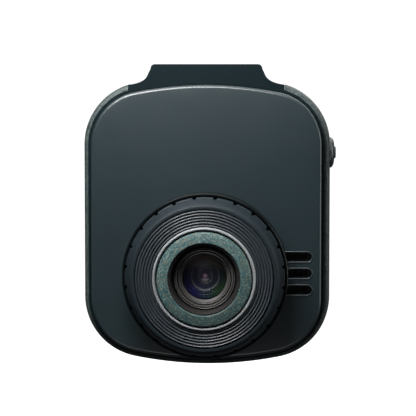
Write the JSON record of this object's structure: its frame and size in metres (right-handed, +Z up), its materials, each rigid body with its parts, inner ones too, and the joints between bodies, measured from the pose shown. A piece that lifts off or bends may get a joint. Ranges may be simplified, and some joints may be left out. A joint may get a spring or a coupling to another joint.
{
  "type": "dash camera",
  "caption": "Compact windscreen dash camera: rounded upright housing under a slide-in bracket platform, ribbed lens turret low on the front, display and buttons on the back.",
  "frame": {"origin": "middle of the flat bracket land on top of the mounting platform, in front of the bracket slot", "axes": "+Z up, out of the bracket land; the lens looks along -Y and the display faces +Y; +X is the power button side"},
  "size_m": [0.0555, 0.035, 0.066],
  "materials": {
    "cover_plastic": "satin black moulded plastic",
    "frame_plastic": "smooth dark moulded plastic",
    "band_grain": "fine leather-like grain",
    "turret_black": "semi-gloss black plastic",
    "ring_black": "satin black turned ribs",
    "flake_trim": "speckled teal-grey metallic paint",
    "hood_black": "matt black light trap",
    "barrel_black": "black anodised",
    "coated_glass": "multi-coated optical glass",
    "display_glass": "clear hard-coated window printed black round its edge",
    "display_cell": "dark display cell",
    "button_plastic": "smooth dark moulded plastic",
    "light_guide": "frosted clear plastic",
    "plated_steel": "nickel plated",
    "black_screw": "black zinc",
    "board_green": "green solder mask",
    "chip_black": "moulded chip package",
    "sensor_glass": "cover glass over a sensor die",
    "flex_amber": "polyimide flat cable",
    "cell_wrap": "foil pouch",
    "card_plastic": "plain black card",
    "mesh_metal": "fine woven mesh"
  },
  "bodies": {
    "housing": {"front_cover": "cover_plastic", "mount_frame": "frame_plastic", "side_band": "band_grain", "rear_cover": "cover_plastic", "display_window": "display_glass", "display_panel": "display_cell", "rear_screw_left": "black_screw", "rear_screw_right": "black_screw", "light_pipe": "light_guide", "status_led": "light_guide", "lens_collar": "turret_black", "lens_bezel": "ring_black", "ribbed_ring": "ring_black", "trim_ring": "flake_trim", "lens_hood": "hood_black", "lens_barrel": "barrel_black", "lens_retainer": "barrel_black", "front_element": "coated_glass", "middle_element": "coated_glass", "rear_element": "coated_glass", "lens_lock_ring": "barrel_black", "lens_holder": "chip_black", "image_sensor": "sensor_glass", "sensor_board": "board_green", "sensor_ribbon": "flex_amber", "power_switch": "plated_steel", "usb_surround": "frame_plastic", "usb_receptacle": "plated_steel", "usb_tongue": "chip_black", "card_socket": "plated_steel", "main_board": "board_green", "processor": "chip_black", "memory_chip": "chip_black", "power_chip": "chip_black", "motion_sensor": "chip_black", "microphone": "plated_steel", "display_ribbon": "flex_amber", "battery": "cell_wrap", "speaker": "chip_black", "speaker_mesh": "mesh_metal", "menu_switch_1": "plated_steel", "menu_switch_2": "plated_steel", "menu_switch_3": "plated_steel", "menu_switch_4": "plated_steel"},
    "power_button": {"power_button": "button_plastic"},
    "memory_card": {"memory_card": "card_plastic"},
    "menu_button_1": {"menu_button_1": "button_plastic"},
    "menu_button_2": {"menu_button_2": "button_plastic"},
    "menu_button_3": {"menu_button_3": "button_plastic"},
    "menu_button_4": {"menu_button_4": "button_plastic"}
  },
  "joints": [
    {"name": "power_press", "type": "slide", "parent": "housing", "child": "power_button", "axis": [-1, 0, 0], "range_m": [0, 0.0004], "stiffness_N_per_m": 1500},
    {"name": "menu_press_1", "type": "slide", "parent": "housing", "child": "menu_button_1", "axis": [0, -1, 0], "range_m": [0, 0.00035], "stiffness_N_per_m": 1500},
    {"name": "menu_press_2", "type": "slide", "parent": "housing", "child": "menu_button_2", "axis": [0, -1, 0], "range_m": [0, 0.00035], "stiffness_N_per_m": 1500},
    {"name": "menu_press_3", "type": "slide", "parent": "housing", "child": "menu_button_3", "axis": [0, -1, 0], "range_m": [0, 0.00035], "stiffness_N_per_m": 1500},
    {"name": "menu_press_4", "type": "slide", "parent": "housing", "child": "menu_button_4", "axis": [0, -1, 0], "range_m": [0, 0.00035], "stiffness_N_per_m": 1500},
    {"name": "card_slide", "type": "slide", "parent": "housing", "child": "memory_card", "axis": [-1, 0, 0], "range_m": [0, 0.016]}
  ]
}
